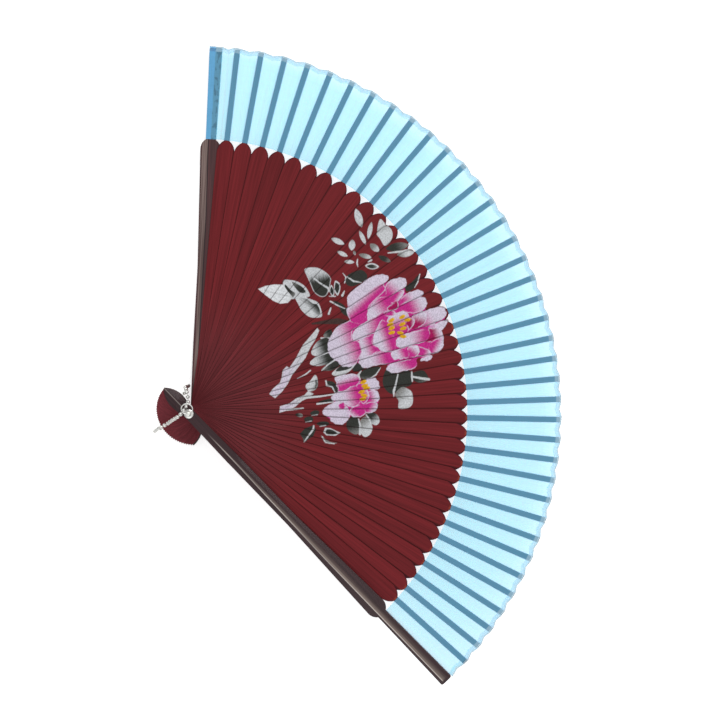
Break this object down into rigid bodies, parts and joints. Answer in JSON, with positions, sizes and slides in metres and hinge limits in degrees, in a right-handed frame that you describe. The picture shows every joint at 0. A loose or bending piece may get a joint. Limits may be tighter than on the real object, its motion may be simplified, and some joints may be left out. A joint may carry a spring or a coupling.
{
  "type": "folding fan",
  "caption": "Folding fan, open: painted wooden sticks on one rivet, pleated sheer silk leaf, guards, and a bead chain on a ring.",
  "frame": {"origin": "on the rivet's axis, at the flat bottom of its back head", "axes": "+Z along the rivet's axis towards the front face of the fan, +Y through the middle of the open fan, +X across it towards the front guard"},
  "size_m": [0.3472, 0.213, 0.0333],
  "materials": {
    "rib_wood": "dyed and waxed",
    "guard_wood": "dyed dark, satin",
    "silk": "sheer pleated silk",
    "steel": "bright plated steel",
    "chain_steel": "plated bead chain"
  },
  "bodies": {
    "guard_front": {"guard_front": "guard_wood", "rivet": "steel", "washer_front": "steel", "washer_back": "steel", "ball_chain": "chain_steel", "chain_connector": "chain_steel", "leaf": "silk"},
    "rib_38": {"rib_38": "rib_wood"},
    "rib_37": {"rib_37": "rib_wood"},
    "rib_36": {"rib_36": "rib_wood"},
    "rib_35": {"rib_35": "rib_wood"},
    "rib_34": {"rib_34": "rib_wood"},
    "rib_33": {"rib_33": "rib_wood"},
    "rib_32": {"rib_32": "rib_wood"},
    "rib_31": {"rib_31": "rib_wood"},
    "rib_30": {"rib_30": "rib_wood"},
    "rib_29": {"rib_29": "rib_wood"},
    "rib_28": {"rib_28": "rib_wood"},
    "rib_27": {"rib_27": "rib_wood"},
    "rib_26": {"rib_26": "rib_wood"},
    "rib_25": {"rib_25": "rib_wood"},
    "rib_24": {"rib_24": "rib_wood"},
    "rib_23": {"rib_23": "rib_wood"},
    "rib_22": {"rib_22": "rib_wood"},
    "rib_21": {"rib_21": "rib_wood"},
    "rib_20": {"rib_20": "rib_wood"},
    "rib_19": {"rib_19": "rib_wood"},
    "rib_18": {"rib_18": "rib_wood"},
    "rib_17": {"rib_17": "rib_wood"},
    "rib_16": {"rib_16": "rib_wood"},
    "rib_15": {"rib_15": "rib_wood"},
    "rib_14": {"rib_14": "rib_wood"},
    "rib_13": {"rib_13": "rib_wood"},
    "rib_12": {"rib_12": "rib_wood"},
    "rib_11": {"rib_11": "rib_wood"},
    "rib_10": {"rib_10": "rib_wood"},
    "rib_09": {"rib_09": "rib_wood"},
    "rib_08": {"rib_08": "rib_wood"},
    "rib_07": {"rib_07": "rib_wood"},
    "rib_06": {"rib_06": "rib_wood"},
    "rib_05": {"rib_05": "rib_wood"},
    "rib_04": {"rib_04": "rib_wood"},
    "rib_03": {"rib_03": "rib_wood"},
    "rib_02": {"rib_02": "rib_wood"},
    "rib_01": {"rib_01": "rib_wood"},
    "guard_back": {"guard_back": "guard_wood"},
    "ring": {"ring": "steel"}
  },
  "joints": [
    {"name": "fold_rib_38", "type": "hinge", "parent": "guard_front", "child": "rib_38", "pos_m": [0, 0, 0], "axis": [0, 0, -1], "range_deg": [0, 4.06], "deforming": ["leaf"]},
    {"name": "fold_rib_37", "type": "hinge", "parent": "rib_38", "child": "rib_37", "pos_m": [0, 0, 0], "axis": [0, 0, -1], "range_deg": [0, 3.15]},
    {"name": "fold_rib_36", "type": "hinge", "parent": "rib_37", "child": "rib_36", "pos_m": [0, 0, 0], "axis": [0, 0, -1], "range_deg": [0, 3.15]},
    {"name": "fold_rib_35", "type": "hinge", "parent": "rib_36", "child": "rib_35", "pos_m": [0, 0, 0], "axis": [0, 0, -1], "range_deg": [0, 3.15]},
    {"name": "fold_rib_34", "type": "hinge", "parent": "rib_35", "child": "rib_34", "pos_m": [0, 0, 0], "axis": [0, 0, -1], "range_deg": [0, 3.15]},
    {"name": "fold_rib_33", "type": "hinge", "parent": "rib_34", "child": "rib_33", "pos_m": [0, 0, 0], "axis": [0, 0, -1], "range_deg": [0, 3.15]},
    {"name": "fold_rib_32", "type": "hinge", "parent": "rib_33", "child": "rib_32", "pos_m": [0, 0, 0], "axis": [0, 0, -1], "range_deg": [0, 3.15]},
    {"name": "fold_rib_31", "type": "hinge", "parent": "rib_32", "child": "rib_31", "pos_m": [0, 0, 0], "axis": [0, 0, -1], "range_deg": [0, 3.15]},
    {"name": "fold_rib_30", "type": "hinge", "parent": "rib_31", "child": "rib_30", "pos_m": [0, 0, 0], "axis": [0, 0, -1], "range_deg": [0, 3.15]},
    {"name": "fold_rib_29", "type": "hinge", "parent": "rib_30", "child": "rib_29", "pos_m": [0, 0, 0], "axis": [0, 0, -1], "range_deg": [0, 3.15]},
    {"name": "fold_rib_28", "type": "hinge", "parent": "rib_29", "child": "rib_28", "pos_m": [0, 0, 0], "axis": [0, 0, -1], "range_deg": [0, 3.15]},
    {"name": "fold_rib_27", "type": "hinge", "parent": "rib_28", "child": "rib_27", "pos_m": [0, 0, 0], "axis": [0, 0, -1], "range_deg": [0, 3.15]},
    {"name": "fold_rib_26", "type": "hinge", "parent": "rib_27", "child": "rib_26", "pos_m": [0, 0, 0], "axis": [0, 0, -1], "range_deg": [0, 3.15]},
    {"name": "fold_rib_25", "type": "hinge", "parent": "rib_26", "child": "rib_25", "pos_m": [0, 0, 0], "axis": [0, 0, -1], "range_deg": [0, 3.15]},
    {"name": "fold_rib_24", "type": "hinge", "parent": "rib_25", "child": "rib_24", "pos_m": [0, 0, 0], "axis": [0, 0, -1], "range_deg": [0, 3.16]},
    {"name": "fold_rib_23", "type": "hinge", "parent": "rib_24", "child": "rib_23", "pos_m": [0, 0, 0], "axis": [0, 0, -1], "range_deg": [0, 3.17]},
    {"name": "fold_rib_22", "type": "hinge", "parent": "rib_23", "child": "rib_22", "pos_m": [0, 0, 0], "axis": [0, 0, -1], "range_deg": [0, 3.19]},
    {"name": "fold_rib_21", "type": "hinge", "parent": "rib_22", "child": "rib_21", "pos_m": [0, 0, 0], "axis": [0, 0, -1], "range_deg": [0, 3.21]},
    {"name": "fold_rib_20", "type": "hinge", "parent": "rib_21", "child": "rib_20", "pos_m": [0, 0, 0], "axis": [0, 0, -1], "range_deg": [0, 3.23]},
    {"name": "fold_rib_19", "type": "hinge", "parent": "rib_20", "child": "rib_19", "pos_m": [0, 0, 0], "axis": [0, 0, -1], "range_deg": [0, 3.26]},
    {"name": "fold_rib_18", "type": "hinge", "parent": "rib_19", "child": "rib_18", "pos_m": [0, 0, 0], "axis": [0, 0, -1], "range_deg": [0, 3.3]},
    {"name": "fold_rib_17", "type": "hinge", "parent": "rib_18", "child": "rib_17", "pos_m": [0, 0, 0], "axis": [0, 0, -1], "range_deg": [0, 3.33]},
    {"name": "fold_rib_16", "type": "hinge", "parent": "rib_17", "child": "rib_16", "pos_m": [0, 0, 0], "axis": [0, 0, -1], "range_deg": [0, 3.37]},
    {"name": "fold_rib_15", "type": "hinge", "parent": "rib_16", "child": "rib_15", "pos_m": [0, 0, 0], "axis": [0, 0, -1], "range_deg": [0, 3.41]},
    {"name": "fold_rib_14", "type": "hinge", "parent": "rib_15", "child": "rib_14", "pos_m": [0, 0, 0], "axis": [0, 0, -1], "range_deg": [0, 3.45]},
    {"name": "fold_rib_13", "type": "hinge", "parent": "rib_14", "child": "rib_13", "pos_m": [0, 0, 0], "axis": [0, 0, -1], "range_deg": [0, 3.49]},
    {"name": "fold_rib_12", "type": "hinge", "parent": "rib_13", "child": "rib_12", "pos_m": [0, 0, 0], "axis": [0, 0, -1], "range_deg": [0, 3.53]},
    {"name": "fold_rib_11", "type": "hinge", "parent": "rib_12", "child": "rib_11", "pos_m": [0, 0, 0], "axis": [0, 0, -1], "range_deg": [0, 3.57]},
    {"name": "fold_rib_10", "type": "hinge", "parent": "rib_11", "child": "rib_10", "pos_m": [0, 0, 0], "axis": [0, 0, -1], "range_deg": [0, 3.61]},
    {"name": "fold_rib_09", "type": "hinge", "parent": "rib_10", "child": "rib_09", "pos_m": [0, 0, 0], "axis": [0, 0, -1], "range_deg": [0, 3.65]},
    {"name": "fold_rib_08", "type": "hinge", "parent": "rib_09", "child": "rib_08", "pos_m": [0, 0, 0], "axis": [0, 0, -1], "range_deg": [0, 3.68]},
    {"name": "fold_rib_07", "type": "hinge", "parent": "rib_08", "child": "rib_07", "pos_m": [0, 0, 0], "axis": [0, 0, -1], "range_deg": [0, 3.71]},
    {"name": "fold_rib_06", "type": "hinge", "parent": "rib_07", "child": "rib_06", "pos_m": [0, 0, 0], "axis": [0, 0, -1], "range_deg": [0, 3.74]},
    {"name": "fold_rib_05", "type": "hinge", "parent": "rib_06", "child": "rib_05", "pos_m": [0, 0, 0], "axis": [0, 0, -1], "range_deg": [0, 3.77]},
    {"name": "fold_rib_04", "type": "hinge", "parent": "rib_05", "child": "rib_04", "pos_m": [0, 0, 0], "axis": [0, 0, -1], "range_deg": [0, 3.79]},
    {"name": "fold_rib_03", "type": "hinge", "parent": "rib_04", "child": "rib_03", "pos_m": [0, 0, 0], "axis": [0, 0, -1], "range_deg": [0, 3.8]},
    {"name": "fold_rib_02", "type": "hinge", "parent": "rib_03", "child": "rib_02", "pos_m": [0, 0, 0], "axis": [0, 0, -1], "range_deg": [0, 3.82]},
    {"name": "fold_rib_01", "type": "hinge", "parent": "rib_02", "child": "rib_01", "pos_m": [0, 0, 0], "axis": [0, 0, -1], "range_deg": [0, 3.82]},
    {"name": "fold_guard_back", "type": "hinge", "parent": "rib_01", "child": "guard_back", "pos_m": [0, 0, 0], "axis": [0, 0, -1], "range_deg": [0, 3.44]},
    {"name": "ring_swing", "type": "hinge", "parent": "guard_front", "child": "ring", "pos_m": [0, 0, 0.02928], "axis": [-0.1771, -0.9842, 0], "range_deg": [-3, 3]}
  ],
  "couplings": [
    {"joint": "fold_rib_37", "follows": "fold_rib_38", "ratio": 0.77519},
    {"joint": "fold_rib_36", "follows": "fold_rib_38", "ratio": 0.77519},
    {"joint": "fold_rib_35", "follows": "fold_rib_38", "ratio": 0.77519},
    {"joint": "fold_rib_34", "follows": "fold_rib_38", "ratio": 0.77519},
    {"joint": "fold_rib_33", "follows": "fold_rib_38", "ratio": 0.77519},
    {"joint": "fold_rib_32", "follows": "fold_rib_38", "ratio": 0.77519},
    {"joint": "fold_rib_31", "follows": "fold_rib_38", "ratio": 0.77519},
    {"joint": "fold_rib_30", "follows": "fold_rib_38", "ratio": 0.77519},
    {"joint": "fold_rib_29", "follows": "fold_rib_38", "ratio": 0.77519},
    {"joint": "fold_rib_28", "follows": "fold_rib_38", "ratio": 0.77519},
    {"joint": "fold_rib_27", "follows": "fold_rib_38", "ratio": 0.77519},
    {"joint": "fold_rib_26", "follows": "fold_rib_38", "ratio": 0.77519},
    {"joint": "fold_rib_25", "follows": "fold_rib_38", "ratio": 0.7758},
    {"joint": "fold_rib_24", "follows": "fold_rib_38", "ratio": 0.77761},
    {"joint": "fold_rib_23", "follows": "fold_rib_38", "ratio": 0.7806},
    {"joint": "fold_rib_22", "follows": "fold_rib_38", "ratio": 0.78473},
    {"joint": "fold_rib_21", "follows": "fold_rib_38", "ratio": 0.78993},
    {"joint": "fold_rib_20", "follows": "fold_rib_38", "ratio": 0.79614},
    {"joint": "fold_rib_19", "follows": "fold_rib_38", "ratio": 0.80325},
    {"joint": "fold_rib_18", "follows": "fold_rib_38", "ratio": 0.81116},
    {"joint": "fold_rib_17", "follows": "fold_rib_38", "ratio": 0.81977},
    {"joint": "fold_rib_16", "follows": "fold_rib_38", "ratio": 0.82894},
    {"joint": "fold_rib_15", "follows": "fold_rib_38", "ratio": 0.83854},
    {"joint": "fold_rib_14", "follows": "fold_rib_38", "ratio": 0.84843},
    {"joint": "fold_rib_13", "follows": "fold_rib_38", "ratio": 0.85846},
    {"joint": "fold_rib_12", "follows": "fold_rib_38", "ratio": 0.8685},
    {"joint": "fold_rib_11", "follows": "fold_rib_38", "ratio": 0.87839},
    {"joint": "fold_rib_10", "follows": "fold_rib_38", "ratio": 0.88799},
    {"joint": "fold_rib_09", "follows": "fold_rib_38", "ratio": 0.89716},
    {"joint": "fold_rib_08", "follows": "fold_rib_38", "ratio": 0.90577},
    {"joint": "fold_rib_07", "follows": "fold_rib_38", "ratio": 0.91368},
    {"joint": "fold_rib_06", "follows": "fold_rib_38", "ratio": 0.92079},
    {"joint": "fold_rib_05", "follows": "fold_rib_38", "ratio": 0.927},
    {"joint": "fold_rib_04", "follows": "fold_rib_38", "ratio": 0.9322},
    {"joint": "fold_rib_03", "follows": "fold_rib_38", "ratio": 0.93632},
    {"joint": "fold_rib_02", "follows": "fold_rib_38", "ratio": 0.93932},
    {"joint": "fold_rib_01", "follows": "fold_rib_38", "ratio": 0.94113},
    {"joint": "fold_guard_back", "follows": "fold_rib_38", "ratio": 0.84756}
  ]
}
